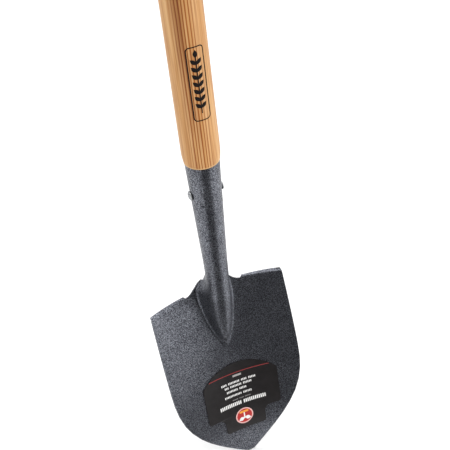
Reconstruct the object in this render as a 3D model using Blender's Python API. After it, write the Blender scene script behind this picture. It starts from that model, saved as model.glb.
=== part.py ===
"""A small round point shovel: a stamped steel blade and socket in one sheet, an ash handle, a rivet
through the socket, a cushioned grip and a paper label. +Z runs up the handle and the digging face
looks toward -Y. The origin is the centre of the flat end of the grip."""

import math

import bmesh
import bpy
from mathutils import Vector

MM = 0.001

# Fits
TOUCHING_GAP = 0.3 * MM
HANDLE_IN_SOCKET_GAP = 0.35 * MM

# Socket: a tapered tube, rolled from the same sheet as the blade, with its seam at the back
SHEET = 1.6 * MM
SOCKET_MOUTH_DIAMETER = 29.8 * MM
SOCKET_NECK_DIAMETER = 22.6 * MM
SOCKET_NECK_TAPER = 0.0165
SOCKET_LENGTH = 112 * MM
SEAM_GAP = 1.4 * MM

# Below the socket the seam opens into a channel, whose edges flare to the shoulders of the blade
SEAM_OPENING = 35.5 * MM
SHOULDER_HEIGHT = 18.1 * MM

# Blade. Its face is hollow across and bowed along, and leans forward from its top edge to its tip
CORNER_HALF_WIDTH = 69.0 * MM
BLADE_HALF_WIDTH = 70.4 * MM
BLADE_LENGTH = 209.3 * MM
PARALLEL_LENGTH = 88 * MM
POINT_FULLNESS = 2.52
TIP_RADIUS = 12 * MM
CORNER_SETBACK = 5.0 * MM
BLADE_LIFT = math.radians(11.7)
CROSS_RADIUS = 165 * MM
TOP_DISH = 14.0 * MM
BOW = 5.0 * MM

# The turned steps along the top edge, for the foot, and the notch beside each
NOTCH_HALF_WIDTH = 27.8 * MM
NOTCH_DIP = 1.4 * MM
NOTCH_GAP = 0.8 * MM
STEP_BEND_INSIDE = 0.6 * MM
STEP_DEPTH_AT_NOTCH = 0.6 * MM
STEP_DEPTH_AT_CORNER = 3.2 * MM
STEP_FADE = 3.4 * MM

# The ridge that carries the socket down the front of the blade
RIDGE_LENGTH = 72.4 * MM
RIDGE_SPREAD = 6.3 * MM
RIDGE_END_HALF_WIDTH = 3.2 * MM
RIDGE_FILLET = 3.5 * MM
RIDGE_CREST_RATIO = 0.65
RIDGE_CREST_POWER = 2.2
RIDGE_LEAST_CREST = 1.6
RIDGE_FADES_FROM = 0.74
RIDGE_BLUNTNESS = 6
RIDGE_CREST_FULLEST = 0.9
RIDGE_FILLET_OF_FLANK = 0.4
RIDGE_FILLET_OF_WIDTH = 0.5

# Handle: its swell stands proud of the socket's mouth, and its tapered end fills the socket
HANDLE_ABOVE_SOCKET = 787 * MM
HANDLE_END_CLEARANCE = 2 * MM
HANDLE_CHAMFER = 1.5 * MM
CHUCK_OVERHANG = 0.6 * MM
CHUCK_SWELL = 0.75 * MM
CHUCK_TAPER = 11 * MM
CHUCK_FOOT_ROUND = 0.9 * MM
HANDLE_NARROWING = 0.0065

# Rivet across the socket: a made head on the left, and a hammered one on the right
RIVET_BELOW_MOUTH = 33 * MM
RIVET_DIAMETER = 4.8 * MM
RIVET_HEAD_OVERHANG = 1.9 * MM
RIVET_HEAD_HEIGHT = 2.2 * MM
RIVET_HEAD_RIM = 0.2
RIVET_HAMMERED_OVERHANG = 1.4 * MM
RIVET_HAMMERED_HEIGHT = 1.9 * MM
RIVET_HAMMERED_RIM = 0.35

# Cushioned grip, a sleeve with a closed end
GRIP_LENGTH = 165 * MM
GRIP_WALL = 3.8 * MM
GRIP_END = 4.0 * MM
GRIP_LIP_ROUND = 1.6 * MM
GRIP_END_ROUND = 3.0 * MM

# Label on the face, between the ridge and the tip
LABEL_THICKNESS = 0.35 * MM
LABEL_OFF_CENTRE = 2.9 * MM
LABEL_TILT = math.radians(3)
LABEL_HALF_WIDTH = 41.3 * MM
LABEL_BELOW_RIDGE = 19.2 * MM
LABEL_ABOVE_TIP = 32.3 * MM
LABEL_CROWN = 17.7 * MM
LABEL_TAB_HALF_WIDTH = 22.8 * MM
LABEL_TAB_LENGTH = 21.7 * MM
LABEL_CUT_RADIUS = 9 * MM
LABEL_CORNER_ROUND = 3.5 * MM

# Mesh density
FILLET_TRIM = math.radians(0.5)
FLANK_CROWDING = 1.5
CORNER_ROW_SHARE = 0.55
DEPTH_SOLVE_STEPS = 12
STRAIGHT_TURN = 1e-4
SHARP_ANGLE = math.radians(35)
CREST_STEPS = 9
FLANK_STEPS = 9
WING_STEPS = 9
SOCKET_STEPS = 8
OPENING_STEPS = 7
SHOULDER_STEPS = 9
STEP_LINE_STEPS = 7
SIDE_STEPS = 7
POINT_STEPS = 12
TIP_STEPS = 3
RIDGE_STEPS = 23
STEP_BEND_STEPS = 4
LEAST_WING = 0.8 * MM
TURN_STEPS = 48
LABEL_STEPS = 16

# Places that follow from the sizes, as depths below the mouth of the socket
MOUTH_Z = -HANDLE_ABOVE_SOCKET
TANG_ENDS_AT = SOCKET_LENGTH + SEAM_OPENING
STEP_LINE_AT = TANG_ENDS_AT + SHOULDER_HEIGHT
RIDGE_ENDS_AT = STEP_LINE_AT + RIDGE_LENGTH
STEP_BEND_RADIUS = SHEET + STEP_BEND_INSIDE

STEEL_COLOUR = (0.055, 0.056, 0.062, 1)
WOOD_COLOUR = (0.62, 0.36, 0.16, 1)
RIVET_COLOUR = (0.09, 0.09, 0.10, 1)
GRIP_COLOUR = (0.02, 0.02, 0.02, 1)
LABEL_COLOUR = (0.025, 0.022, 0.022, 1)


def ease(share):
    share = min(max(share, 0.0), 1.0)
    return share * share * (3 - 2 * share)


def mix(low, high, share):
    return low + (high - low) * share


def chord(radius, off_centre):
    """Half the chord of a circle at a distance from its centre."""
    return math.sqrt(max(radius**2 - off_centre**2, 0.0))


def clear_scene():
    for found in list(bpy.data.objects):
        bpy.data.objects.remove(found)


def material(name, colour, roughness, metallic):
    made = bpy.data.materials.new(name)
    made.use_nodes = True
    shader = made.node_tree.nodes["Principled BSDF"]
    shader.inputs["Base Color"].default_value = colour
    shader.inputs["Roughness"].default_value = roughness
    shader.inputs["Metallic"].default_value = metallic
    return made


def object_from(mesh, name, look):
    made = bpy.data.objects.new(name, mesh)
    bpy.context.scene.collection.objects.link(made)
    made.data.materials.append(look)
    return made


def mesh_from(builder, name):
    mesh = bpy.data.meshes.new(name)
    builder.to_mesh(mesh)
    builder.free()
    return mesh


# The socket


def socket_radius(depth):
    """The outer radius of the socket at a depth below its mouth."""
    mouth, neck = SOCKET_MOUTH_DIAMETER / 2, SOCKET_NECK_DIAMETER / 2
    if depth < SOCKET_LENGTH:
        return mix(mouth, neck, depth / SOCKET_LENGTH)
    return neck - SOCKET_NECK_TAPER * (depth - SOCKET_LENGTH)


# The blade's face, as a depth y behind the handle's axis


def point_half_angle():
    return math.atan(BLADE_HALF_WIDTH * POINT_FULLNESS / (BLADE_LENGTH - PARALLEL_LENGTH))


def tip_round_starts():
    return BLADE_LENGTH - TIP_RADIUS * (1 - math.sin(point_half_angle()))


def half_outline(along):
    """Half the blade's width, at a length along it from the line of its corners."""
    if along < PARALLEL_LENGTH:
        flare = math.sin(math.pi / 2 * along / PARALLEL_LENGTH)
        return mix(CORNER_HALF_WIDTH, BLADE_HALF_WIDTH, flare)
    sharp_length = BLADE_LENGTH + TIP_RADIUS * (1 / math.sin(point_half_angle()) - 1)
    if along > tip_round_starts():
        return chord(TIP_RADIUS, along - BLADE_LENGTH + TIP_RADIUS)
    share = (along - PARALLEL_LENGTH) / (sharp_length - PARALLEL_LENGTH)
    return BLADE_HALF_WIDTH * (1 - share**POINT_FULLNESS)


def hollow(x, along):
    """How far the face lies behind the plane through its corners and tip."""
    share = along / BLADE_LENGTH
    return (1 - share) * (TOP_DISH - BOW * share) - x * x / (2 * CROSS_RADIUS)


def face_point(x, along):
    """The face at x and a length along the blade, as (x, y, depth below the mouth)."""
    back = hollow(x, along)
    y = CORNER_SETBACK - along * math.sin(BLADE_LIFT) + back * math.cos(BLADE_LIFT)
    depth = STEP_LINE_AT + along * math.cos(BLADE_LIFT) + back * math.sin(BLADE_LIFT)
    return x, y, depth


def along_at(x, depth):
    along = 0.0
    for _ in range(DEPTH_SOLVE_STEPS):
        rise = hollow(x, along) * math.sin(BLADE_LIFT)
        along = (depth - STEP_LINE_AT - rise) / math.cos(BLADE_LIFT)
    return along


def tang_y():
    """How far behind the axis the face would meet the end of the tang."""
    return socket_radius(TANG_ENDS_AT) * math.pi / 2


def face_y(x, depth):
    """The face's y at a depth. Above the step line it curves forward to meet the socket's back."""
    _, line_y, line_depth = face_point(x, 0)
    above = line_depth - depth
    if above <= 0:
        return face_point(x, along_at(x, depth))[1]
    slope = math.tan(BLADE_LIFT)
    whole = line_depth - TANG_ENDS_AT
    pull = (line_y + slope * whole - tang_y()) / whole**2
    return line_y + slope * above - pull * above**2


# The ridge


def ridge_share(depth):
    line = face_point(0, 0)[2]
    return (depth - line) / (RIDGE_ENDS_AT - line)


def ridge_half_width(depth):
    share = ridge_share(depth)
    widest = socket_radius(TANG_ENDS_AT) + RIDGE_SPREAD
    if share > 0:
        return widest * (1 - share**2) + RIDGE_END_HALF_WIDTH * share**RIDGE_BLUNTNESS
    line = face_point(0, 0)[2]
    return widest - RIDGE_SPREAD * (1 - ease((depth - TANG_ENDS_AT) / (line - TANG_ENDS_AT)))


def crest_y(depth):
    start = -socket_radius(TANG_ENDS_AT)
    share = max((depth - TANG_ENDS_AT) / (RIDGE_ENDS_AT - TANG_ENDS_AT), 0.0)
    crest = mix(start, face_y(0, RIDGE_ENDS_AT), share**RIDGE_CREST_POWER)
    return mix(crest, face_y(0, depth), ease((share - RIDGE_FADES_FROM) / (1 - RIDGE_FADES_FROM)))


def crest_radius(depth):
    """The radius of the ridge's crest, kept over the sheet's own thickness where the ridge runs out."""
    line = face_point(0, 0)[2]
    share = ease((depth - TANG_ENDS_AT) / (line - TANG_ENDS_AT))
    half = ridge_half_width(depth)
    height = face_y(half, depth) - crest_y(depth)
    widest = RIDGE_CREST_FULLEST * (half**2 + height**2) / (2 * height)
    return max(half * mix(1.0, RIDGE_CREST_RATIO, share), min(widest, RIDGE_LEAST_CREST * SHEET))


def spread(step, steps):
    """The share of a flank's length at a step, closer together toward its outer end."""
    return 1 - (1 - step / steps) ** FLANK_CROWDING


def tube_section(depth):
    """Half the socket's section, from the front to the seam, as (x, y) points."""
    radius = socket_radius(depth)
    points = []
    for step in range(CREST_STEPS + 1):
        angle = math.pi / 2 * step / CREST_STEPS
        points.append((radius * math.sin(angle), -radius * math.cos(angle)))
    closed_turn = math.pi / 2 - SEAM_GAP / 2 / radius
    opening = max((depth - SOCKET_LENGTH) / (TANG_ENDS_AT - SOCKET_LENGTH), 0.0)
    turn = closed_turn * (1 - opening**2)
    length = mix(radius * closed_turn, tang_y() - RIDGE_FILLET, opening)
    for step in range(1, FLANK_STEPS + 1):
        share = spread(step, FLANK_STEPS)
        if turn < STRAIGHT_TURN:
            points.append((radius, length * share))
        else:
            bend = length / turn
            angle = turn * share
            points.append((radius - bend * (1 - math.cos(angle)), bend * math.sin(angle)))
    return points


def ridge_section(depth, edge_x):
    """Half the ridge's section, from its crest to the face or the sheet's edge, as (x, y) points."""
    half, radius = ridge_half_width(depth), crest_radius(depth)
    root_y = face_y(half, depth)
    centre_y = crest_y(depth) + radius
    to_centre = Vector((-half, root_y - centre_y))
    lean = math.pi - math.atan2(to_centre.y, half) - math.asin(min(radius / to_centre.length, 1.0))
    flank = math.sqrt(max(to_centre.length_squared - radius**2, 0.0))
    crest_turn = lean - math.pi / 2
    out_slope = (face_y(half + MM, depth) - root_y) / MM
    turn = math.pi - lean + math.atan(-out_slope)
    of_flank = RIDGE_FILLET_OF_FLANK * flank / math.tan(turn / 2)
    fillet = min(RIDGE_FILLET, of_flank, RIDGE_FILLET_OF_WIDTH * half)
    cut = fillet * math.tan(turn / 2)
    points = []
    for step in range(CREST_STEPS + 1):
        angle = (math.pi / 2 - crest_turn) * step / CREST_STEPS
        points.append((radius * math.sin(angle), centre_y - radius * math.cos(angle)))
    start = Vector(points[-1])
    down = Vector((-math.cos(lean), math.sin(lean)))
    outward = Vector((-down.y, down.x)) * -1
    straight = flank - cut
    reach = edge_x - (start + down * straight).x
    while turn > 0 and fillet * (down.x * math.sin(turn) + outward.x * (1 - math.cos(turn))) > reach:
        turn -= FILLET_TRIM
    whole = straight + fillet * max(turn, 0)
    for step in range(1, FLANK_STEPS + 1):
        run = whole * spread(step, FLANK_STEPS)
        point = start + down * min(run, straight)
        if run > straight and fillet > 0:
            angle = (run - straight) / fillet
            point += fillet * (down * math.sin(angle) + outward * (1 - math.cos(angle)))
        points.append((point.x, point.y))
    return points


# The sheet: one surface, its front, given its thickness at the back


def step_rise():
    """How far the turned step's top stands above the start of its bend."""
    return STEP_BEND_RADIUS * (1 - math.sin(BLADE_LIFT))


def bend_depth():
    """The depth at which the step starts to bend, which leaves its flat top at the step line."""
    return STEP_LINE_AT + step_rise()


def outline():
    """The right edge of the blade as (x, depth) points: the shoulder, the step, the side and the point."""
    points = []
    start_x = socket_radius(TANG_ENDS_AT)
    dip = STEP_LINE_AT + NOTCH_DIP
    for step in range(SHOULDER_STEPS + 1):
        share = step / SHOULDER_STEPS
        x = mix(start_x, NOTCH_HALF_WIDTH, share)
        points.append((x, mix(TANG_ENDS_AT, dip, math.sin(math.pi / 2 * share))))
    points.append((NOTCH_HALF_WIDTH + NOTCH_GAP, bend_depth()))
    for step in range(STEP_LINE_STEPS):
        x = mix(NOTCH_HALF_WIDTH + STEP_FADE, CORNER_HALF_WIDTH, step / (STEP_LINE_STEPS - 1))
        points.append((x, bend_depth()))
    first = along_at(CORNER_HALF_WIDTH, bend_depth())
    lengths = [mix(first, PARALLEL_LENGTH, step / SIDE_STEPS) for step in range(1, SIDE_STEPS + 1)]
    round_starts = tip_round_starts()
    for step in range(1, POINT_STEPS + 1):
        lengths.append(mix(PARALLEL_LENGTH, round_starts, math.sin(math.pi / 2 * step / POINT_STEPS)))
    for step in range(1, TIP_STEPS + 1):
        lengths.append(mix(round_starts, BLADE_LENGTH, (step / TIP_STEPS) ** 0.5))
    for along in lengths:
        x, _, depth = face_point(half_outline(along), along)
        points.append((x, depth))
    return points


def inner_depths(edge):
    """The depth at which each row of the face leaves the ridge or, below it, the centre line."""
    at_notch, at_corner = SHOULDER_STEPS, SHOULDER_STEPS + 1 + STEP_LINE_STEPS
    tip = face_point(0, BLADE_LENGTH)[2]
    depths = [depth for _, depth in edge[: at_notch + 1]]
    corner_inner = mix(edge[at_corner][1], RIDGE_ENDS_AT, CORNER_ROW_SHARE)
    for step in range(1, at_corner - at_notch + 1):
        depths.append(mix(depths[at_notch], corner_inner, step / (at_corner - at_notch)))
    for step in range(1, RIDGE_STEPS - at_corner + 1):
        depths.append(mix(corner_inner, RIDGE_ENDS_AT, step / (RIDGE_STEPS - at_corner)))
    edge_start = edge[RIDGE_STEPS][1]
    for _, depth in edge[RIDGE_STEPS + 1 :]:
        depths.append(mix(RIDGE_ENDS_AT, tip, (depth - edge_start) / (tip - edge_start)))
    return depths


def strip(builder, upper, lower):
    """Faces between two rows of vertices that run toward +X, where either row may be one vertex."""
    for index in range(max(len(upper), len(lower)) - 1):
        if len(lower) == 1:
            corners = (upper[index], lower[0], upper[index + 1])
        elif len(upper) == 1:
            corners = (upper[0], lower[index], lower[index + 1])
        else:
            corners = (upper[index], lower[index], lower[index + 1], upper[index + 1])
        corners = list(dict.fromkeys(corners))
        if len(corners) > 2:
            builder.faces.new(corners)


def both_halves(half):
    return [(-x, y) for x, y in reversed(half[1:])] + half


def sheet_surface():
    builder = bmesh.new()
    placed = {}

    def put(x, y, depth):
        key = (round(x / MM, 4), round(y / MM, 4), round(depth / MM, 4))
        if key not in placed:
            placed[key] = builder.verts.new((x, y, MOUTH_Z - depth))
        return placed[key]

    # The socket, from its mouth to where the tang ends
    depths = [SOCKET_LENGTH * step / SOCKET_STEPS for step in range(SOCKET_STEPS)]
    depths += [mix(SOCKET_LENGTH, TANG_ENDS_AT, step / OPENING_STEPS) for step in range(OPENING_STEPS)]
    rows = [[put(x, y, depth) for x, y in both_halves(tube_section(depth))] for depth in depths]

    # The ridge, which runs out to one vertex
    edge = outline()
    inner = inner_depths(edge)
    roots = []
    for (edge_x, _), depth in zip(edge[:RIDGE_STEPS], inner):
        half = ridge_section(depth, edge_x)
        roots.append(half[-1])
        rows.append([put(x, y, depth) for x, y in both_halves(half)])
    rows.append([put(0, face_y(0, RIDGE_ENDS_AT), RIDGE_ENDS_AT)])
    for upper, lower in zip(rows, rows[1:]):
        strip(builder, upper, lower)

    # The face, from the ridge or the centre line out to the edge on each side
    for side in (-1, 1):
        wings = []
        for number, ((edge_x, edge_depth), depth) in enumerate(zip(edge, inner)):
            root_x, root_y = roots[number] if number < RIDGE_STEPS else (0, face_y(0, depth))
            wing = [put(side * root_x, root_y, depth)]
            steps = WING_STEPS if edge_x > root_x + LEAST_WING or number > RIDGE_STEPS else 0
            for step in range(1, steps + 1):
                x = mix(root_x, edge_x, step / steps)
                row_depth = mix(depth, edge_depth, step / steps)
                wing.append(put(side * x, face_y(x, row_depth), row_depth))
            wings.append(wing[::side])
        for upper, lower in zip(wings, wings[1:]):
            strip(builder, upper, lower)

        # The step, bent back from the edge
        first = SHOULDER_STEPS + 1
        line = edge[first : first + STEP_LINE_STEPS + 1][::side]
        lower = [put(side * x, face_y(x, depth), depth) for x, depth in line]
        for upper_row in step_rows(line):
            upper = [put(side * x, y, depth) for x, y, depth in upper_row]
            strip(builder, upper, lower)
            lower = upper
    return mesh_from(builder, "blade_and_socket")


def step_rows(line):
    """The rows of the turned step above its bend line, the last at its back edge.

    The step runs out at the notch, where all of its rows meet in one point.
    """
    turn = math.pi / 2 - BLADE_LIFT
    up_y, up_z = math.sin(BLADE_LIFT), math.cos(BLADE_LIFT)
    notch_x = min(x for x, _ in line)
    rows = []
    for step in range(1, STEP_BEND_STEPS + 2):
        angle = turn * min(step / STEP_BEND_STEPS, 1)
        row = []
        for x, depth in line:
            radius = STEP_BEND_RADIUS if x > notch_x else 0
            rise, back = radius * math.sin(angle), radius * (1 - math.cos(angle))
            y = face_y(x, depth) + rise * up_y + back * up_z
            if step > STEP_BEND_STEPS and x > notch_x:
                share = (x - notch_x) / (CORNER_HALF_WIDTH - notch_x)
                y += mix(STEP_DEPTH_AT_NOTCH, STEP_DEPTH_AT_CORNER, share)
            row.append((x, y, depth - rise * up_z + back * up_y))
        rows.append(row)
    return rows


def rivet_hole(name):
    """A hidden cutter across the socket, one gap wider than the rivet."""
    builder = bmesh.new()
    bmesh.ops.create_cone(
        builder,
        cap_ends=True,
        segments=TURN_STEPS // 2,
        radius1=RIVET_DIAMETER / 2 + TOUCHING_GAP,
        radius2=RIVET_DIAMETER / 2 + TOUCHING_GAP,
        depth=2 * SOCKET_MOUTH_DIAMETER,
    )
    cutter = bpy.data.objects.new(name, mesh_from(builder, name))
    bpy.context.scene.collection.objects.link(cutter)
    cutter.location = (0, 0, MOUTH_Z - RIVET_BELOW_MOUTH)
    cutter.rotation_euler = (0, math.pi / 2, 0)
    cutter.hide_render = True
    cutter.display_type = "WIRE"
    return cutter


def cut(target, cutter):
    boolean = target.modifiers.new("cut", "BOOLEAN")
    boolean.object = cutter
    boolean.solver = "EXACT"


def blade_and_socket(cutter):
    look = material("hammered steel paint", STEEL_COLOUR, 0.42, 0.55)
    made = object_from(sheet_surface(), "blade_and_socket", look)
    thickness = made.modifiers.new("sheet", "SOLIDIFY")
    thickness.thickness = SHEET
    thickness.offset = -1
    thickness.use_even_offset = True
    cut(made, cutter)
    made.data.shade_smooth()
    made.data.set_sharp_from_angle(angle=SHARP_ANGLE)
    return made


# Turned pieces


def turned(profile, name, look):
    """A closed solid from (radius, z) points that start and end on the Z axis."""
    builder = bmesh.new()
    corners = [builder.verts.new((radius, 0, z)) for radius, z in profile]
    edges = [builder.edges.new(pair) for pair in zip(corners, corners[1:])]
    bmesh.ops.spin(
        builder,
        geom=corners + edges,
        cent=(0, 0, 0),
        axis=(0, 0, 1),
        angle=2 * math.pi,
        steps=TURN_STEPS,
        use_merge=True,
    )
    bmesh.ops.remove_doubles(builder, verts=builder.verts, dist=1e-6)
    bmesh.ops.recalc_face_normals(builder, faces=builder.faces)
    made = object_from(mesh_from(builder, name), name, look)
    made.data.shade_smooth()
    made.data.set_sharp_from_angle(angle=SHARP_ANGLE)
    return made


def corner_arc(centre_radius, centre_z, round_radius, start, end, steps=4):
    """Points of an arc in a turned profile, with angles in degrees from outward toward up."""
    points = []
    for step in range(steps + 1):
        angle = math.radians(mix(start, end, step / steps))
        radius = centre_radius + round_radius * math.cos(angle)
        points.append((radius, centre_z + round_radius * math.sin(angle)))
    return points


def chuck_foot_radius():
    return SOCKET_MOUTH_DIAMETER / 2 + CHUCK_OVERHANG


def handle_radius(above_mouth):
    """The handle's radius above the taper that meets the socket."""
    narrowing = HANDLE_NARROWING * (above_mouth - CHUCK_TAPER) / 2
    return chuck_foot_radius() + CHUCK_SWELL - narrowing


def ash_handle(cutter):
    def in_socket(depth):
        return socket_radius(depth) - SHEET - HANDLE_IN_SOCKET_GAP

    length_inside = SOCKET_LENGTH - HANDLE_END_CLEARANCE
    profile = [(0, MOUTH_Z - length_inside)]
    profile.append((in_socket(length_inside) - HANDLE_CHAMFER, MOUTH_Z - length_inside))
    for step in range(5):
        depth = (length_inside - HANDLE_CHAMFER) * (1 - step / 4)
        profile.append((in_socket(depth), MOUTH_Z - depth))
    foot = MOUTH_Z + TOUCHING_GAP
    foot_centre = (chuck_foot_radius() - CHUCK_FOOT_ROUND, foot + CHUCK_FOOT_ROUND)
    profile.append((in_socket(0), foot))
    profile += corner_arc(*foot_centre, CHUCK_FOOT_ROUND, -90, 0)
    for step in range(1, 5):
        swell = CHUCK_SWELL * math.sin(math.pi / 2 * step / 4)
        height = mix(CHUCK_FOOT_ROUND, CHUCK_TAPER, step / 4)
        profile.append((chuck_foot_radius() + swell, foot + height))
    end = -GRIP_END - TOUCHING_GAP
    for step in range(1, 7):
        above = mix(CHUCK_TAPER, HANDLE_ABOVE_SOCKET + end - HANDLE_CHAMFER, step / 6)
        profile.append((handle_radius(above), MOUTH_Z + above))
    profile.append((handle_radius(HANDLE_ABOVE_SOCKET) - HANDLE_CHAMFER, end))
    profile.append((0, end))
    made = turned(profile, "ash_handle", material("lacquered ash", WOOD_COLOUR, 0.38, 0.0))
    cut(made, cutter)
    return made


def rivet():
    """The rivet, turned about Z and then laid along X, which puts its made head on the left."""
    seat = socket_radius(RIVET_BELOW_MOUTH) + TOUCHING_GAP
    shank = RIVET_DIAMETER / 2
    made_head = dome(shank + RIVET_HEAD_OVERHANG, RIVET_HEAD_HEIGHT, RIVET_HEAD_RIM)
    hammered_head = dome(shank + RIVET_HAMMERED_OVERHANG, RIVET_HAMMERED_HEIGHT, RIVET_HAMMERED_RIM)
    profile = [(radius, -seat - height) for radius, height in made_head]
    profile += [(shank, -seat), (shank, seat)]
    profile += [(radius, seat + height) for radius, height in reversed(hammered_head)]
    made = turned(profile, "rivet", material("rivet steel", RIVET_COLOUR, 0.35, 0.9))
    made.location = (0, 0, MOUTH_Z - RIVET_BELOW_MOUTH)
    made.rotation_euler = (0, math.pi / 2, 0)
    return made


def dome(rim_radius, height, rim_share, steps=5):
    """A rivet head from its top to the foot of its rim, as (radius, height) points."""
    points = []
    for step in range(steps + 1):
        angle = math.pi / 2 * step / steps
        rise = rim_share + (1 - rim_share) * math.cos(angle)
        points.append((rim_radius * math.sin(angle), height * rise))
    return points + [(rim_radius, 0)]


def cushion_grip():
    """The sleeve over the end of the handle. It follows the handle's taper inside."""
    start = HANDLE_ABOVE_SOCKET - GRIP_LENGTH
    mouth_radius = handle_radius(start) + TOUCHING_GAP
    end_radius = handle_radius(HANDLE_ABOVE_SOCKET - GRIP_END) + TOUCHING_GAP
    outer = mouth_radius + GRIP_WALL
    lip, end_round = GRIP_LIP_ROUND, GRIP_END_ROUND
    profile = [(0, -GRIP_END), (end_radius, -GRIP_END), (mouth_radius, -GRIP_LENGTH + lip / 2)]
    profile.append((mouth_radius + lip / 2, -GRIP_LENGTH))
    profile += corner_arc(outer - lip, -GRIP_LENGTH + lip, lip, -90, 0)
    profile += corner_arc(outer - end_round, -end_round, end_round, 0, 90, steps=6)
    profile.append((0, 0))
    return turned(profile, "cushion_grip", material("foam grip", GRIP_COLOUR, 0.85, 0.0))


# The label


def label_ends():
    """Where the label's crown starts and its tab ends, as lengths along the blade."""
    return RIDGE_LENGTH + LABEL_BELOW_RIDGE, BLADE_LENGTH - LABEL_ABOVE_TIP


def label_half_width(along):
    """Half the label's width: a low crown, straight sides, two lobes cut round at the foot, and a tab."""
    crown, tab_end = label_ends()
    lobe_end = tab_end - LABEL_TAB_LENGTH
    if along < crown + LABEL_CROWN:
        crown_radius = (LABEL_HALF_WIDTH**2 + LABEL_CROWN**2) / (2 * LABEL_CROWN)
        return chord(crown_radius, crown_radius - max(along - crown, 0.0))
    if along <= lobe_end:
        over = max(along - lobe_end + LABEL_CORNER_ROUND, 0.0)
        return LABEL_HALF_WIDTH - LABEL_CORNER_ROUND + chord(LABEL_CORNER_ROUND, over)
    if along < lobe_end + LABEL_CUT_RADIUS:
        over = lobe_end + LABEL_CUT_RADIUS - along
        return LABEL_TAB_HALF_WIDTH + LABEL_CUT_RADIUS - chord(LABEL_CUT_RADIUS, over)
    over = max(along - tab_end + LABEL_CORNER_ROUND, 0.0)
    return LABEL_TAB_HALF_WIDTH - LABEL_CORNER_ROUND + chord(LABEL_CORNER_ROUND, over)


def face_offset(x, along, distance):
    """A point in front of the face, in the scene's coordinates."""
    here = Vector(face_point(x, along))
    across = Vector(face_point(x + MM, along)) - here
    down = Vector(face_point(x, along + MM)) - here
    normal = across.cross(down).normalized()
    if normal.y > 0:
        normal.negate()
    point = here + normal * distance
    return point.x, point.y, MOUTH_Z - point.z


def blade_label():
    builder = bmesh.new()
    crown, tab_end = label_ends()
    lobe_end = tab_end - LABEL_TAB_LENGTH
    cut_end = lobe_end + LABEL_CUT_RADIUS
    middle = (crown + tab_end) / 2
    stretches = (
        (crown, crown + LABEL_CROWN, 7, 2.0),
        (crown + LABEL_CROWN, lobe_end - LABEL_CORNER_ROUND, 5, 1.0),
        (lobe_end - LABEL_CORNER_ROUND, lobe_end, 4, 0.6),
        (lobe_end, cut_end, 6, 1.6),
        (cut_end, tab_end - LABEL_CORNER_ROUND, 2, 1.0),
        (tab_end - LABEL_CORNER_ROUND, tab_end, 4, 0.6),
    )
    lengths = [crown]
    for start, end, steps, crowding in stretches:
        lengths += [mix(start, end, (step / steps) ** crowding) for step in range(1, steps + 1)]
    rows = []
    for along in lengths:
        half = label_half_width(along)
        steps = LABEL_STEPS if half > 0 else 0
        row = []
        for step in range(steps + 1):
            across = half * mix(-1, 1, step / steps) if steps else 0.0
            turned_x = across * math.cos(LABEL_TILT) - (along - middle) * math.sin(LABEL_TILT)
            turned_along = across * math.sin(LABEL_TILT) + (along - middle) * math.cos(LABEL_TILT)
            place = (LABEL_OFF_CENTRE + turned_x, middle + turned_along)
            row.append(builder.verts.new(face_offset(*place, TOUCHING_GAP)))
        rows.append(row)
    for upper, lower in zip(rows, rows[1:]):
        strip(builder, upper, lower)
    look = material("printed label", LABEL_COLOUR, 0.35, 0.0)
    made = object_from(mesh_from(builder, "blade_label"), "blade_label", look)
    thickness = made.modifiers.new("paper", "SOLIDIFY")
    thickness.thickness = LABEL_THICKNESS
    thickness.offset = 1
    thickness.use_even_offset = True
    return made


def main():
    clear_scene()
    cutter = rivet_hole("rivet_hole_cutter")
    blade_and_socket(cutter)
    ash_handle(cutter)
    rivet()
    cushion_grip()
    blade_label()


main()
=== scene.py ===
# %% [markdown]
# A small round point shovel: one pressed sheet of steel for blade and socket, an ash handle
# held by a rivet, a foam sleeve at the top, and a printed label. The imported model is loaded
# first and stays fixed, because its sizes are the object's sizes. Everything made below is
# laid on it, or stands for one of its pieces.

# %% Load the frame
import math

import bmesh
import bpy
from mathutils import Matrix, Vector


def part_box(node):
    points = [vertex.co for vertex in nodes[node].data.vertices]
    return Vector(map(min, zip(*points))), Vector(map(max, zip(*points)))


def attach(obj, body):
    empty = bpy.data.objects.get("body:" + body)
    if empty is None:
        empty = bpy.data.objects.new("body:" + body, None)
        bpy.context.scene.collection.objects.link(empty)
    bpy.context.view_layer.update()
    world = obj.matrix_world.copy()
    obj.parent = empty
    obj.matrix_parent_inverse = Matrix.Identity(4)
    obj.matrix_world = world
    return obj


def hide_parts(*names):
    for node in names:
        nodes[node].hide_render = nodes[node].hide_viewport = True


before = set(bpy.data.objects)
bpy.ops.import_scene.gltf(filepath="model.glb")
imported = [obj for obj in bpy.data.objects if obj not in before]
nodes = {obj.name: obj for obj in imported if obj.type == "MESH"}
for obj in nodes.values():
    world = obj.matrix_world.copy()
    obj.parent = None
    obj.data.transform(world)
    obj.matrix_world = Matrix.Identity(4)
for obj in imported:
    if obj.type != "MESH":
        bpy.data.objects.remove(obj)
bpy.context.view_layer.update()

MM = 0.001
print("loaded", sorted(nodes))

# %% [markdown]
# The part's own boxes give the places: the socket's mouth lies where the sheet starts, and the
# blade's tip is its lowest point. Two sizes of the socket can't be read from a box, so they are
# stated: its outside radius at the mouth, and how fast that narrows.

# %% Find the places
steel_low, steel_high = (Vector(corner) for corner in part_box("blade_and_socket"))
grip_low, grip_high = (Vector(corner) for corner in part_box("cushion_grip"))
mouth_z = steel_high.z
tip_z = steel_low.z
mouth_radius = 14.9 * MM
socket_narrowing = 3.6 / 112  # of radius, for each mm down the socket
print("mouth", round(mouth_z, 4), "tip", round(tip_z, 4))

# %% [markdown]
# Colours are easiest to think of as the hex values of a colour picker. Blender's shaders want
# linear light, so one function turns one into the other. A second adds a node with its
# settings and its links, so that a material reads as a list of what feeds what.


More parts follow.
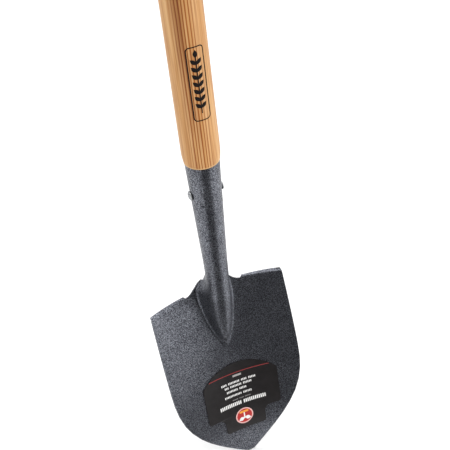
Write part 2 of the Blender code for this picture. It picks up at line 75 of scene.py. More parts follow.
# %% Colour and node helpers
def linear(hex_colour):
    """An sRGB hex colour, such as d9a673, as linear RGBA."""
    channels = [int(hex_colour[at : at + 2], 16) / 255 for at in (0, 2, 4)]
    turned = [c / 12.92 if c <= 0.04045 else ((c + 0.055) / 1.055) ** 2.4 for c in channels]
    return (*turned, 1.0)


def start_material(name, roughness, metallic, ior=None):
    """A new material with its Principled shader, set for the real surface."""
    made = bpy.data.materials.new(name)
    made.use_nodes = True
    shader = made.node_tree.nodes["Principled BSDF"]
    shader.inputs["Roughness"].default_value = roughness
    shader.inputs["Metallic"].default_value = metallic
    if ior:
        shader.inputs["IOR"].default_value = ior
    return made, shader


def add(material, kind, settings=None, **links):
    """Adds a node. A setting or a link names a socket, with _ for a space."""
    tree = material.node_tree
    node = tree.nodes.new(kind)
    for name, value in (settings or {}).items():
        if hasattr(node, name):
            setattr(node, name, value)
        else:
            node.inputs[name.replace("_", " ")].default_value = value
    for name, source in links.items():
        socket = node.inputs[int(name[1:]) if name[1:].isdigit() else name.replace("_", " ")]
        tree.links.new(source, socket)
    return node


def ramp(material, factor, *stops):
    """A colour ramp over (position, hex colour) stops."""
    node = add(material, "ShaderNodeValToRGB", Fac=factor)
    elements = node.color_ramp.elements
    while len(elements) < len(stops):
        elements.new(0.5)
    for element, (position, colour) in zip(elements, stops):
        element.position = position
        element.color = linear(colour)
    return node.outputs["Color"]


def join(material, source, socket):
    material.node_tree.links.new(source, socket)


def per_mm(size):
    """The scale that makes a pattern repeat about every so many millimetres."""
    return 1 / (size * MM)


# %% [markdown]
# Hammer-finish enamel is a paint full of aluminium flake. As it dries, the flake gathers in
# small cells about a millimetre across, with darker valleys between them. Two noises give that:
# one for the cells, and a slow one for the cloudiness of a sprayed coat. The flake makes the
# paint mostly metallic, and the raised cells are a little glossier.

# %% Hammered enamel
steel_paint, shader = start_material("hammered_enamel_on_steel", 0.44, 0.9)
spot = add(steel_paint, "ShaderNodeTexCoord").outputs["Object"]
cells = add(
    steel_paint, "ShaderNodeTexNoise",
    {"Scale": per_mm(0.85), "Detail": 1.0, "Roughness": 0.5, "Distortion": 0.6},
    Vector=spot,
).outputs["Fac"]
clouds = add(
    steel_paint, "ShaderNodeTexNoise", {"Scale": per_mm(28), "Detail": 3.0}, Vector=spot
).outputs["Fac"]
flake = ramp(steel_paint, cells, (0.36, "35363c"), (0.5, "62636a"), (0.66, "969aa2"))
coat = ramp(steel_paint, clouds, (0.3, "c9c9cc"), (0.7, "ffffff"))
tinted = add(
    steel_paint, "ShaderNodeMix", {"data_type": "RGBA", "blend_type": "MULTIPLY", "Factor": 0.6}
)
join(steel_paint, flake, tinted.inputs[6])
join(steel_paint, coat, tinted.inputs[7])
join(steel_paint, tinted.outputs[2], shader.inputs["Base Color"])
sheen_break = add(
    steel_paint, "ShaderNodeMapRange",
    {"From_Min": 0.35, "From_Max": 0.65, "To_Min": 0.52, "To_Max": 0.36},
    Value=cells,
)
join(steel_paint, sheen_break.outputs["Result"], shader.inputs["Roughness"])
hammer_relief = add(
    steel_paint, "ShaderNodeBump", {"Strength": 0.22, "Distance": 0.12 * MM}, Height=cells
)
join(steel_paint, hammer_relief.outputs["Normal"], shader.inputs["Normal"])
print("made", steel_paint.name)

# %% [markdown]
# Ash splits straight, so its growth layers run up the handle as nearly flat sheets: pale wood
# grown in spring, and a thin amber line of dense summer wood every 2 to 3 mm. Where the turned
# surface cuts across the sheets they show as fine straight lines, and where it runs along them
# the wood is calm. A wave pattern, turned to face the sheets and stretched along the handle,
# gives lines that drift without crossing. A finer noise makes the pores, one broad streak is
# heartwood, and clear lacquer over it all gives a thin gloss.

# %% Lacquered ash
ash, shader = start_material("clear_lacquered_ash", 0.5, 0.0, 1.45)
shader.inputs["Specular IOR Level"].default_value = 0.3
shader.inputs["Coat Weight"].default_value = 0.08
shader.inputs["Coat Roughness"].default_value = 0.3
spot = add(ash, "ShaderNodeTexCoord").outputs["Object"]
sheets = add(
    ash, "ShaderNodeMapping",
    {"vector_type": "TEXTURE", "Rotation": (0, 0, math.radians(-24)), "Scale": (1, 5, 50)},
    Vector=spot,
).outputs["Vector"]
sideways = add(ash, "ShaderNodeSeparateXYZ", Vector=sheets).outputs["X"]
height = add(ash, "ShaderNodeSeparateXYZ", Vector=spot).outputs["Z"]


def wood_mix(first, second, factor, blend="MULTIPLY"):
    """Mixes two colours of the wood. The factor is a number or the output of a node."""
    node = add(ash, "ShaderNodeMix", {"data_type": "RGBA", "blend_type": blend})
    if isinstance(factor, float):
        node.inputs[0].default_value = factor
    else:
        join(ash, factor, node.inputs[0])
    join(ash, first, node.inputs[6])
    if isinstance(second, str):
        node.inputs[7].default_value = linear(second)
    else:
        join(ash, second, node.inputs[7])
    return node.outputs[2]


def band(middle, half_width, fade):
    """1 within a half width of a place across the sheets, falling to 0 over the fade, in mm."""
    moved = add(ash, "ShaderNodeMath", {"operation": "SUBTRACT"}, _0=sideways)
    moved.inputs[1].default_value = middle * MM
    far = add(ash, "ShaderNodeMath", {"operation": "ABSOLUTE"}, _0=moved.outputs[0]).outputs[0]
    fall = {
        "From_Min": half_width * MM, "From_Max": (half_width + fade) * MM,
        "To_Min": 1.0, "To_Max": 0.0,
    }
    return add(ash, "ShaderNodeMapRange", fall, Value=far).outputs["Result"]


line_spacing = 2.3
wave_repeat = math.pi / 10  # a wave texture repeats every pi / 10 units at a scale of 1
spring_wood = add(
    ash, "ShaderNodeTexNoise", {"Scale": per_mm(3.5), "Detail": 3.0, "Roughness": 0.5},
    Vector=sheets,
).outputs["Fac"]
summer_wood = add(
    ash, "ShaderNodeTexWave",
    {
        "wave_type": "BANDS", "bands_direction": "X",
        "Scale": per_mm(line_spacing) * wave_repeat,
        "Distortion": 3.2, "Detail": 2.0, "Detail_Scale": 1.0, "Detail_Roughness": 0.6,
    },
    Vector=sheets,
).outputs["Fac"]
pores = add(
    ash, "ShaderNodeTexNoise", {"Scale": per_mm(0.7), "Detail": 2.0, "Roughness": 0.5},
    Vector=sheets,
).outputs["Fac"]
base_wood = ramp(ash, spring_wood, (0.32, "c48e53"), (0.5, "cf9d63"), (0.68, "d9ad78"))
lines = ramp(ash, summer_wood, (0.45, "ffffff"), (0.84, "cfa475"), (1.0, "c0935f"))
fibre = ramp(ash, pores, (0.36, "c7a077"), (0.56, "ffffff"))
lined = wood_mix(base_wood, lines, band(1.5, 5.5, 5.5))
pored = wood_mix(lined, fibre, 0.45)

# The streak of heartwood grows stronger up the handle.
rise = add(
    ash, "ShaderNodeMapRange",
    {
        "From_Min": mouth_z + 30 * MM, "From_Max": mouth_z + 140 * MM,
        "To_Min": 0.0, "To_Max": 1.0,
    },
    Value=height,
).outputs["Result"]
heart = add(ash, "ShaderNodeMath", {"operation": "MULTIPLY"}, _0=band(-3.2, 1.5, 4.0), _1=rise)
streaked = wood_mix(pored, "d0bda6", heart.outputs[0])

# The rounded foot of the wood is a little paler than the rest.
foot = add(
    ash, "ShaderNodeMapRange",
    {
        "From_Min": mouth_z + 0.8 * MM, "From_Max": mouth_z + 2.2 * MM,
        "To_Min": 0.75, "To_Max": 0.0,
    },
    Value=height,
).outputs["Result"]
join(ash, wood_mix(streaked, "e3bd88", foot, "MIX"), shader.inputs["Base Color"])
pore_relief = add(ash, "ShaderNodeBump", {"Strength": 0.25, "Distance": 0.05 * MM}, Height=pores)
join(ash, pore_relief.outputs["Normal"], shader.inputs["Normal"])
print("made", ash.name)

# %% [markdown]
# The rivet is bare zinc-plated steel, dulled by the hammer that closed it. Plating is almost
# fully metallic, and its roughness changes over a millimetre or so.

# %% Plated steel
plated, shader = start_material("dull_zinc_plate", 0.25, 0.95)
spot = add(plated, "ShaderNodeTexCoord").outputs["Object"]
blotches = add(
    plated, "ShaderNodeTexNoise", {"Scale": per_mm(1.4), "Detail": 4.0}, Vector=spot
).outputs["Fac"]
zinc = ramp(plated, blotches, (0.35, "77797c"), (0.65, "c4c6c8"))
join(plated, zinc, shader.inputs["Base Color"])
dulling = add(plated, "ShaderNodeMapRange", {"To_Min": 0.22, "To_Max": 0.5}, Value=blotches)
join(plated, dulling.outputs["Result"], shader.inputs["Roughness"])
plate_relief = add(
    plated, "ShaderNodeBump", {"Strength": 0.4, "Distance": 0.05 * MM}, Height=blotches
)
join(plated, plate_relief.outputs["Normal"], shader.inputs["Normal"])
print("made", plated.name)

# %% [markdown]
# The sleeve is closed-cell nitrile foam. Its skin is matt, with fine pits where cells broke
# open against the mould, so a Voronoi pattern just under a millimetre does for its bump.

# %% Nitrile foam
foam, shader = start_material("closed_cell_nitrile_foam", 0.82, 0.0, 1.5)
spot = add(foam, "ShaderNodeTexCoord").outputs["Object"]
foam_cells = add(
    foam, "ShaderNodeTexVoronoi", {"Scale": per_mm(0.9)}, Vector=spot
).outputs["Distance"]
mottle = add(
    foam, "ShaderNodeTexNoise", {"Scale": per_mm(9), "Detail": 3.0}, Vector=spot
).outputs["Fac"]
join(foam, ramp(foam, mottle, (0.3, "161617"), (0.7, "242426")), shader.inputs["Base Color"])
skin_relief = add(
    foam, "ShaderNodeBump", {"Strength": 0.5, "Distance": 0.12 * MM}, Height=foam_cells
)
join(foam, skin_relief.outputs["Normal"], shader.inputs["Normal"])
print("made", foam.name)

# %% [markdown]
# The label is black varnished paper, and its print is solid ink. Paper fibre shows as a very
# slight mottle. The inks share one recipe, because they differ only in colour.

# %% Paper and inks
paper, shader = start_material("varnished_black_paper", 0.4, 0.0, 1.5)
spot = add(paper, "ShaderNodeTexCoord").outputs["Object"]
fibres = add(
    paper, "ShaderNodeTexNoise", {"Scale": per_mm(6), "Detail": 5.0, "Roughness": 0.6},
    Vector=spot,
).outputs["Fac"]
join(paper, ramp(paper, fibres, (0.3, "171414"), (0.7, "211d1e")), shader.inputs["Base Color"])
paper_relief = add(
    paper, "ShaderNodeBump", {"Strength": 0.15, "Distance": 0.1 * MM}, Height=fibres
)
join(paper, paper_relief.outputs["Normal"], shader.inputs["Normal"])


def ink(name, dark, light, roughness=0.45):
    made, inked = start_material(name, roughness, 0.0, 1.5)
    place = add(made, "ShaderNodeTexCoord").outputs["Object"]
    cover = add(made, "ShaderNodeTexNoise", {"Scale": per_mm(0.7), "Detail": 3.0}, Vector=place)
    colour = ramp(made, cover.outputs["Fac"], (0.3, dark), (0.6, light))
    join(made, colour, inked.inputs["Base Color"])
    return made


white_ink = ink("white_screen_ink", "d8d6d4", "f4f3f1")
grey_ink = ink("grey_screen_ink", "8f8c8b", "a9a6a4")
red_ink = ink("red_screen_ink", "9e1f1f", "c22a26")
rule_ink = ink("thin_red_rule_ink", "8a2a2c", "a33436")
orange_ink = ink("orange_screen_ink", "e08a1c", "f2a53a")
pad_ink = ink("black_pad_ink", "0b0807", "16100e", 0.75)
pad_shader = pad_ink.node_tree.nodes["Principled BSDF"]
pad_shader.inputs["Specular IOR Level"].default_value = 0.2
print("made", paper.name, "and 6 inks")

# %% [markdown]
# A CAD solid arrives as loose triangles, so a smooth shade can't cross from one to the next.
# A copy with its corners merged can be shaded smooth across gentle turns and stays crisp at
# sheared edges. The copy stands for the node, which stays for the simulation, hidden.


# %% Merge copies of the solids
def select_only(piece):
    bpy.ops.object.select_all(action="DESELECT")
    piece.select_set(True)
    bpy.context.view_layer.objects.active = piece


def merged_copy(node, name, smooth_angle):
    made = nodes[node].copy()
    made.data = nodes[node].data.copy()
    made.name = made.data.name = name
    for key in list(made.keys()):
        del made[key]
    made.parent = None
    made.matrix_world = Matrix.Identity(4)
    bpy.context.scene.collection.objects.link(made)
    select_only(made)
    bpy.ops.object.mode_set(mode="EDIT")
    bpy.ops.mesh.select_all(action="SELECT")
    bpy.ops.mesh.remove_doubles(threshold=0.002 * MM)
    bpy.ops.object.mode_set(mode="OBJECT")
    bpy.ops.object.shade_smooth_by_angle(angle=math.radians(smooth_angle))
    return made


def finish_piece(piece, material):
    piece.data.materials.clear()
    piece.data.materials.append(material)
    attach(piece, "root")
    triangles = sum(len(face.vertices) - 2 for face in piece.data.polygons)
    print(piece.name, triangles, "triangles")


pressing = merged_copy("blade_and_socket", "steel_pressing", 35)
shaft = merged_copy("ash_handle", "turned_shaft", 35)
fastener = merged_copy("rivet", "socket_rivet", 40)
sticker = merged_copy("blade_label", "printed_sticker", 40)
finish_piece(pressing, steel_paint)
finish_piece(shaft, ash)
finish_piece(fastener, plated)
finish_piece(sticker, paper)
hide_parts("blade_and_socket")
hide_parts("ash_handle")
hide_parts("rivet")
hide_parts("blade_label")

# %% [markdown]
# The foam sleeve swells a little between its ends, because it is pushed over wood that is
# thicker than its bore. Half of its section is drawn as a line of points and spun round the
# handle's axis, and a subdivision surface rounds the whole.

# %% Foam sleeve
sleeve_radius = (grip_high.x - grip_low.x) / 2
sleeve_length = grip_high.z - grip_low.z
wood_radius = sleeve_radius - 4.1 * MM  # the sleeve's wall, with the gap to the wood
profile = [
    (0.0, 0.0), (sleeve_radius - 5 * MM, 0.0), (sleeve_radius - 1.6 * MM, -0.8 * MM),
    (sleeve_radius - 0.3 * MM, -3.4 * MM), (sleeve_radius + 0.1 * MM, -12 * MM),
    (sleeve_radius + 0.5 * MM, -sleeve_length / 2),
    (sleeve_radius + 0.1 * MM, 8 * MM - sleeve_length),
    (sleeve_radius - 0.5 * MM, 1.6 * MM - sleeve_length),
    (sleeve_radius - 1.9 * MM, -sleeve_length),
    (wood_radius + 0.7 * MM, 0.2 * MM - sleeve_length),
    (wood_radius + 0.35 * MM, 2 * MM - sleeve_length),
    (wood_radius + 0.35 * MM, -8 * MM), (0.0, -4.2 * MM),
]
bpy.ops.object.select_all(action="DESELECT")
bpy.ops.mesh.primitive_plane_add(size=1 * MM)
sleeve = bpy.context.active_object
sleeve.name = sleeve.data.name = "foam_sleeve"
bpy.ops.object.mode_set(mode="EDIT")
bpy.ops.mesh.delete(type="VERT")
outline = bmesh.from_edit_mesh(sleeve.data)
corners = [outline.verts.new((radius, 0, z)) for radius, z in profile]
for pair in zip(corners, corners[1:]):
    outline.edges.new(pair)
bmesh.update_edit_mesh(sleeve.data)
bpy.ops.mesh.select_all(action="SELECT")
bpy.ops.mesh.spin(steps=64, angle=2 * math.pi, center=(0, 0, 0), axis=(0, 0, 1))
bpy.ops.mesh.select_all(action="SELECT")
bpy.ops.mesh.remove_doubles(threshold=0.01 * MM)
bpy.ops.mesh.normals_make_consistent(inside=False)
bpy.ops.object.mode_set(mode="OBJECT")
rounding = sleeve.modifiers.new("rounding", "SUBSURF")
rounding.levels = rounding.render_levels = 1
bpy.ops.object.modifier_apply(modifier="rounding")
bpy.ops.object.shade_smooth_by_angle(angle=math.radians(50))
finish_piece(sleeve, foam)
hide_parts("cushion_grip")

# %% [markdown]
# A socket is often locked to its wood by blows of a centre punch. Here they left one small pit
# on the front, left of the middle, and one on the right. For each, a small sphere pushed into
# the sheet is subtracted. The socket's faces are long, so rings are cut round the marks first:
# otherwise each cut leaves slivers that show as a crease down the socket.

# %% Punch marks on the socket
marks = (
    # In mm and degrees: how far below the mouth, how far round from the front, the punch's
    # radius, and how deep it sank.
    (40.5, -38, 1.5, 1.3),
    (42.5, 55, 1.3, 1.1),
)
select_only(pressing)
bpy.ops.object.mode_set(mode="EDIT")
rings_round_marks = (37.5, 39.0, 42.2, 44.5)  # mm below the mouth
for ring_depth in rings_round_marks:
    bpy.ops.mesh.select_all(action="SELECT")
    bpy.ops.mesh.bisect(plane_co=(0, 0, mouth_z - ring_depth * MM), plane_no=(0, 0, 1))
bpy.ops.object.mode_set(mode="OBJECT")
for number, (depth, angle, punch, sunk) in enumerate(marks):
    turn = math.radians(angle)
    wall = mouth_radius - socket_narrowing * depth * MM
    away = wall + (punch - sunk) * MM
    centre = (away * math.sin(turn), -away * math.cos(turn), mouth_z - depth * MM)
    bpy.ops.object.select_all(action="DESELECT")
    bpy.ops.mesh.primitive_ico_sphere_add(subdivisions=3, radius=punch * MM, location=centre)
    punch_tool = bpy.context.active_object
    dent = pressing.modifiers.new("dent", "BOOLEAN")
    dent.object = punch_tool
    dent.solver = "EXACT"
    select_only(pressing)
    bpy.ops.object.modifier_apply(modifier="dent")
    bpy.data.objects.remove(punch_tool)

    # A ray at the mark measures the pit, so that a cut that missed would show.
    outward = Vector((math.sin(turn), -math.cos(turn), 0))
    start = outward * 50 * MM + Vector((0, 0, centre[2]))
    _, floor_of_pit, _, _ = pressing.ray_cast(start, -outward)
    print("pit", number, "depth in mm", round((wall - floor_of_pit.xy.length) / MM, 2))
bpy.ops.object.shade_smooth_by_angle(angle=math.radians(35))

# %% [markdown]
# Printing is ink that lies on a surface, so each printed shape is a thin sheet laid on what
# carries it. It is drawn flat, with x across and y up, in a plane in front of its surface. A
# shrinkwrap drops it on, straight back, and a solidify gives the ink its film.
#
# The blade leans back from its tip, so the label's drawing plane leans with it, and is
# turned the few degrees that the label was stuck on crooked.

# %% Drawing plane of the label
blade_lean = math.radians(11.7)
label_turn = math.radians(3)
step_line = 165.6 * MM
corner_setback = 5 * MM
label_middle = Vector((2.9 * MM, 134.3 * MM))
label_film = 0.07 * MM

across = Vector((1, 0, 0))
up_blade = Vector((0, math.sin(blade_lean), math.cos(blade_lean)))
out_of_blade = across.cross(up_blade)
corner_line = Vector((0, corner_setback, mouth_z - step_line))
stand_off = 30 * MM  # far enough in front of the dished blade to drop back on it
centre = corner_line + across * label_middle.x - up_blade * label_middle.y
centre += out_of_blade * stand_off
plane_axes = Matrix((across, up_blade, out_of_blade)).transposed().to_4x4()
label_plane = Matrix.Translation(centre) @ plane_axes @ Matrix.Rotation(-label_turn, 4, "Z")
print("label plane at", [round(value, 3) for value in centre])

# %% [markdown]
# Four helpers serve all the print. One draws a rectangle, one cuts a drawing into strips so
# that it can bend, one joins the drawings of one ink, and one lays the result on its surface.
# Discs and leaves are drawn further down, where they are first needed.


# %% Lay print on a surface
def lay_on(piece, plane, target, film, material):
    """Drops a flat drawing straight back on the target, and gives it a film of ink."""
    piece.matrix_world = plane
    drop = piece.modifiers.new("drop", "SHRINKWRAP")
    drop.target = target
    drop.wrap_method = "PROJECT"
    drop.wrap_mode = "ABOVE_SURFACE"
    drop.use_project_z = True
    drop.use_negative_direction = True
    drop.use_positive_direction = False
    drop.offset = film
    select_only(piece)
    bpy.ops.object.modifier_apply(modifier="drop")
    bpy.ops.object.transform_apply(location=True, rotation=True, scale=True)
    body = piece.modifiers.new("film", "SOLIDIFY")
    body.thickness = film / 2
    body.offset = -1
    bpy.ops.object.modifier_apply(modifier="film")
    bpy.ops.object.shade_flat()
    finish_piece(piece, material)


def flat_rectangle(name, width, height, middle=(0, 0), cuts=0, corner=0):
    """A rectangle drawn in mm, with rounded corners and enough cuts to bend."""
    bpy.ops.object.select_all(action="DESELECT")
    bpy.ops.mesh.primitive_plane_add(size=MM)
    piece = bpy.context.active_object
    piece.name = piece.data.name = name
    bpy.ops.object.mode_set(mode="EDIT")
    bpy.ops.transform.resize(value=(width, height, 1))
    bpy.ops.transform.translate(value=(middle[0] * MM, middle[1] * MM, 0))
    if corner:
        bpy.ops.mesh.bevel(offset=corner * MM, segments=5, affect="VERTICES")
    bpy.ops.object.mode_set(mode="OBJECT")
    if cuts:
        slice_evenly(piece, cuts)
    return piece


def slice_evenly(piece, cuts):
    """Bisects a flat drawing into even strips, so that it can follow a curve."""
    select_only(piece)
    bpy.ops.object.mode_set(mode="EDIT")
    xs = [vert.co.x for vert in bmesh.from_edit_mesh(piece.data).verts]
    low, high = min(xs), max(xs)
    for cut in range(1, cuts):
        bpy.ops.mesh.select_all(action="SELECT")
        place = low + (high - low) * cut / cuts
        bpy.ops.mesh.bisect(plane_co=(place, 0, 0), plane_no=(1, 0, 0))
    bpy.ops.object.mode_set(mode="OBJECT")


def join_pieces(name, drawn):
    bpy.ops.object.select_all(action="DESELECT")
    for piece in drawn:
        piece.select_set(True)
    bpy.context.view_layer.objects.active = drawn[0]
    bpy.ops.object.join()
    drawn[0].name = drawn[0].data.name = name
    return drawn[0]


# %% [markdown]
# No wording goes on this label. Where a real one has lines of small type, it has rows of
# upright strokes in word-like groups, which read as print at arm's length and say nothing.
# Each group is one stroke, repeated by an array.


# %% Rows of plain strokes
def stroke_group(start, row, count, pitch, width, height):
    stroke = flat_rectangle("stroke", width, height, (start + width / 2, row))
    repeat = stroke.modifiers.new("repeat", "ARRAY")
    repeat.count = count
    repeat.use_relative_offset = False
    repeat.use_constant_offset = True
    repeat.constant_offset_displace = (pitch * MM, 0, 0)
    bpy.ops.object.modifier_apply(modifier="repeat")
    return stroke


def stroke_row(row, left, groups, pitch, width, height):
    drawn = []
    start = left
    for count in groups:
        drawn.append(stroke_group(start, row, count, pitch, width, height))
        start += (count + 1) * pitch
    return drawn


# Rows run down the label from the socket's side, in mm from its middle: the place of the row,
# its left end, and how many strokes are in each group.
small = []
for row, left, groups in (
    (19.4, -20.5, (4, 8, 4, 5)),
    (14.8, -17.2, (3, 8, 6)),
    (9.4, -15.6, (8, 5)),
    (3.3, -18.6, (12, 6)),
):
    small += stroke_row(row, left, groups, 1.62, 0.95, 2.5)
small_rows = join_pieces("label_small_rows", small)
lay_on(small_rows, label_plane, sticker, label_film, white_ink)

title = stroke_row(-8.0, -26.0, (12, 12), 2.1, 1.35, 4.6)
title_row = join_pieces("label_title_row", title)
lay_on(title_row, label_plane, sticker, label_film, white_ink)

notes = stroke_row(-2.6, -10.6, (5, 4, 5), 1.3, 0.7, 1.2) + [
    flat_rectangle("note_bar", 9.6, 2.4, (-1.6, 26.9), cuts=6)
]
note_rows = join_pieces("label_note_rows", notes)
lay_on(note_rows, label_plane, sticker, label_film, grey_ink)

rule = flat_rectangle("label_rule", 67, 0.75, (0.0, 30.6), cuts=24)
lay_on(rule, label_plane, sticker, label_film, rule_ink)

# %% [markdown]
# The badge is a plain red disc with a pale ring and a young plant, two leaves on a stem. It
# belongs to no maker. A leaf is a circle cut along its middle, with its points drawn in to a
# tip at both ends.


# %% Badge with a seedling
def flat_disc(name, radius, middle, cuts=10):
    bpy.ops.object.select_all(action="DESELECT")
    bpy.ops.mesh.primitive_circle_add(vertices=48, radius=radius * MM, fill_type="NGON")
    piece = bpy.context.active_object
    piece.name = piece.data.name = name
    bpy.ops.object.mode_set(mode="EDIT")
    bpy.ops.transform.translate(value=(middle[0] * MM, middle[1] * MM, 0))
    bpy.ops.object.mode_set(mode="OBJECT")
    slice_evenly(piece, cuts)
    return piece


def flat_leaf(name, length, width, root, angle):
    """A pointed leaf that grows from its root, at an angle in degrees from x."""
    leaf = flat_disc(name, length / 2, (length / 2, 0), cuts=8)
    select_only(leaf)
    bpy.ops.object.mode_set(mode="EDIT")
    bpy.ops.mesh.select_all(action="SELECT")
    bpy.ops.mesh.bisect(plane_co=(0, 0, 0), plane_no=(0, 1, 0))
    bpy.ops.object.mode_set(mode="OBJECT")
    for vert in leaf.data.vertices:
        share = min(max(vert.co.x / (length * MM), 0), 1)
        belly = math.sin(math.pi * share) ** 1.15 if 0 < share < 1 else 0
        side = math.copysign(1, vert.co.y) if abs(vert.co.y) > 1e-9 else 0
        vert.co.y = side * belly * width / 2 * MM
    leaf.data.transform(Matrix.Rotation(math.radians(angle), 4, "Z"))
    leaf.data.transform(Matrix.Translation((root[0] * MM, root[1] * MM, 0)))
    return leaf


badge_middle = (-0.5, -26.6)
ring = flat_disc("badge_ring", 9.9, badge_middle)
ring_ink = ink("pale_red_screen_ink", "e0a8a2", "eec0ba")
lay_on(ring, label_plane, sticker, label_film, ring_ink)
disc = flat_disc("badge_disc", 8.6, badge_middle)
lay_on(disc, label_plane, sticker, label_film * 1.8, red_ink)
base = (badge_middle[0], badge_middle[1] + 5.0)
stem = flat_rectangle("badge_stem", 1.3, 8.5, (base[0], base[1] - 4.4), cuts=2)
leaves = [
    stem,
    flat_leaf("badge_leaf_left", 7.6, 4.6, (base[0], base[1] - 7.0), 203),
    flat_leaf("badge_leaf_right", 7.6, 4.6, (base[0], base[1] - 7.0), -23),
]
seedling = join_pieces("badge_seedling", leaves)
lay_on(seedling, label_plane, sticker, label_film * 2.6, white_ink)
soil = flat_rectangle("badge_soil", 10.5, 2.6, (base[0], base[1] + 0.4), cuts=8, corner=1.1)
lay_on(soil, label_plane, sticker, label_film * 2.6, orange_ink)

# %% [markdown]
# The handle's front carries one stamp in black ink: a rounded frame with a sprig inside. The
# stamp follows the round wood. It is drawn flat in front and dropped straight back, so its
# half width is the wood's radius times the sine of the angle it reaches round.

# %% Stamp on the handle
stamp_low, stamp_high = 47.4, 110.7
stamp_reach = math.radians(26.5)
stamp_height = stamp_high - stamp_low
stamp_middle = (stamp_low + stamp_high) / 2
wood_here = 15.95  # the wood's radius at the stamp, in mm
stamp_half = wood_here * math.sin(stamp_reach)
handle_film = 0.1 * MM
front = Matrix(((1, 0, 0), (0, 0, -1), (0, 1, 0))).to_4x4()
stamp_place = Vector((0, -40 * MM, mouth_z + stamp_middle * MM))
stamp_plane = Matrix.Translation(stamp_place) @ front

frame_line = flat_rectangle("stamp_frame", 2 * stamp_half, stamp_height, corner=3.2)
select_only(frame_line)
bpy.ops.object.mode_set(mode="EDIT")
bpy.ops.mesh.select_all(action="SELECT")
bpy.ops.mesh.inset(thickness=0.85 * MM)
bpy.ops.mesh.delete(type="FACE")
bpy.ops.object.mode_set(mode="OBJECT")
slice_evenly(frame_line, 14)
lay_on(frame_line, stamp_plane, shaft, handle_film, pad_ink)

sprig_parts = [flat_rectangle("sprig_stem", 0.9, 50, (0, 0), cuts=2)]
for pair in range(7):
    root = (0, -20.5 + 6.2 * pair)
    sprig_parts.append(flat_leaf("sprig_leaf", 6.6, 3.3, root, 48))
    sprig_parts.append(flat_leaf("sprig_leaf", 6.6, 3.3, root, 132))
sprig_parts.append(flat_leaf("sprig_leaf", 7.0, 3.6, (0, 22), 90))
sprig = join_pieces("stamp_sprig", sprig_parts)
lay_on(sprig, stamp_plane, shaft, handle_film, pad_ink)

# %% [markdown]
# The floor is a plain pale plane just below the blade's tip, and isn't part of the object. It
# goes well beyond the light, so that its edge is far from the tool.

# %% Floor
floor_paint, shader = start_material("pale_studio_floor", 0.85, 0.0)
shader.inputs["Base Color"].default_value = linear("fafafa")
bpy.ops.object.select_all(action="DESELECT")
bpy.ops.mesh.primitive_plane_add(size=24, location=(0, 0, tip_z - 0.5 * MM))
floor = bpy.context.active_object
floor.name = "studio_floor"
floor.data.materials.append(floor_paint)
print("floor at z", round(floor.location.z, 4))

# %% [markdown]
# Flake paint shows mostly what it reflects. A dark band down the middle of the socket, with
# light edges, says that the sides and the table behind are bright, and the front is not. So
# there are two low soft boxes at the front corners, and one large light overhead and behind,
# which keeps the floor an even white. The right box is the strong one: the dished blade turns
# its left wing toward it, so that wing is light and the right wing stays dark.


# %% Lights
def soft_box(name, place, aim, width, height, power):
    lamp = bpy.data.lights.new(name, "AREA")
    lamp.shape = "RECTANGLE"
    lamp.size, lamp.size_y = width, height
    lamp.energy = power
    made = bpy.data.objects.new(name, lamp)
    bpy.context.scene.collection.objects.link(made)
    made.location = place
    made.rotation_euler = (Vector(aim) - Vector(place)).to_track_quat("-Z", "Y").to_euler()
    made.visible_camera = False
    return made


blade_middle = (0, 0, -0.98)
soft_box("left_box", (-1.15, -0.55, -0.72), blade_middle, 0.7, 0.9, 0.8)
soft_box("right_box", (1.0, -0.8, -0.78), blade_middle, 0.8, 0.9, 6)
soft_box("sky_light", (0.1, 0.9, 2.0), (0.1, 0.9, -1.2), 5, 5, 165)
world = bpy.data.worlds.new("studio")
world.use_nodes = True
world.node_tree.nodes["Background"].inputs["Color"].default_value = (1, 1, 1, 1)
world.node_tree.nodes["Background"].inputs["Strength"].default_value = 0.5
bpy.context.scene.world = world
bpy.context.scene.view_settings.view_transform = "Standard"
print("lit by", len(bpy.data.lights), "lights")

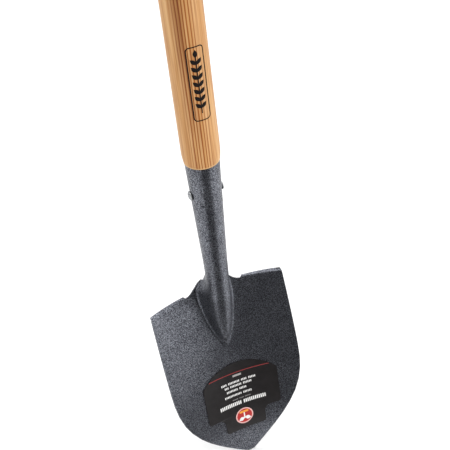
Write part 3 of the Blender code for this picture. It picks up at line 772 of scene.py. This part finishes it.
# %% [markdown]
# A studio lays a black card in front of a glossy tool, out of the camera's view, so that the
# paint has something dark to mirror. Only reflections see this one: it throws no shadow.

# %% Black card in front
card_black, shader = start_material("black_card", 0.9, 0.0)
shader.inputs["Base Color"].default_value = linear("0c0c0c")
bpy.ops.object.select_all(action="DESELECT")
bpy.ops.mesh.primitive_plane_add(size=1, location=(0.05, -0.49, tip_z + 6 * MM))
card = bpy.context.active_object
card.name = "black_card"
bpy.ops.object.mode_set(mode="EDIT")
bpy.ops.transform.resize(value=(1.0, 0.82, 1))
card_mesh = bmesh.from_edit_mesh(card.data)
near_half_width, near_shift = 0.10, -0.08  # narrow at the tool, and mostly left of it
far_share, far_shift = 0.9, -0.20
for vert in card_mesh.verts:
    if vert.co.y > 0:
        vert.co.x = math.copysign(near_half_width, vert.co.x) + near_shift
    else:
        vert.co.x = vert.co.x * far_share + far_shift
far_edge = [edge for edge in card_mesh.edges if all(vert.co.y < 0 for vert in edge.verts)]
bpy.ops.mesh.select_all(action="DESELECT")
for edge in far_edge:
    edge.select_set(True)
bmesh.update_edit_mesh(card.data)
bpy.ops.mesh.extrude_region_move(TRANSFORM_OT_translate={"value": (0, 0, 0.55)})
bpy.ops.object.mode_set(mode="OBJECT")
card.data.materials.append(card_black)
card.visible_camera = card.visible_diffuse = card.visible_shadow = False
print("made", card.name)

# %% [markdown]
# The camera looks down from the front left, close enough that the tool tapers toward the
# blade. Three directions set its turn: right, up and back.

# %% Camera
lens = bpy.data.cameras.new("camera")
lens.lens, lens.sensor_width = 63.84, 36
lens.clip_start = 0.01
camera = bpy.data.objects.new("camera", lens)
bpy.context.scene.collection.objects.link(camera)
back = Vector((-0.2609, -0.7081, 0.6561)).normalized()
right = Vector((0.9056, -0.4150, -0.0877))
right = (right - back * right.dot(back)).normalized()
turn = Matrix((right, back.cross(right), back)).transposed().to_4x4()
camera.matrix_world = Matrix.Translation((-0.1721, -0.5039, -0.3984)) @ turn
bpy.context.scene.camera = camera
print("camera at", [round(value, 3) for value in camera.location])
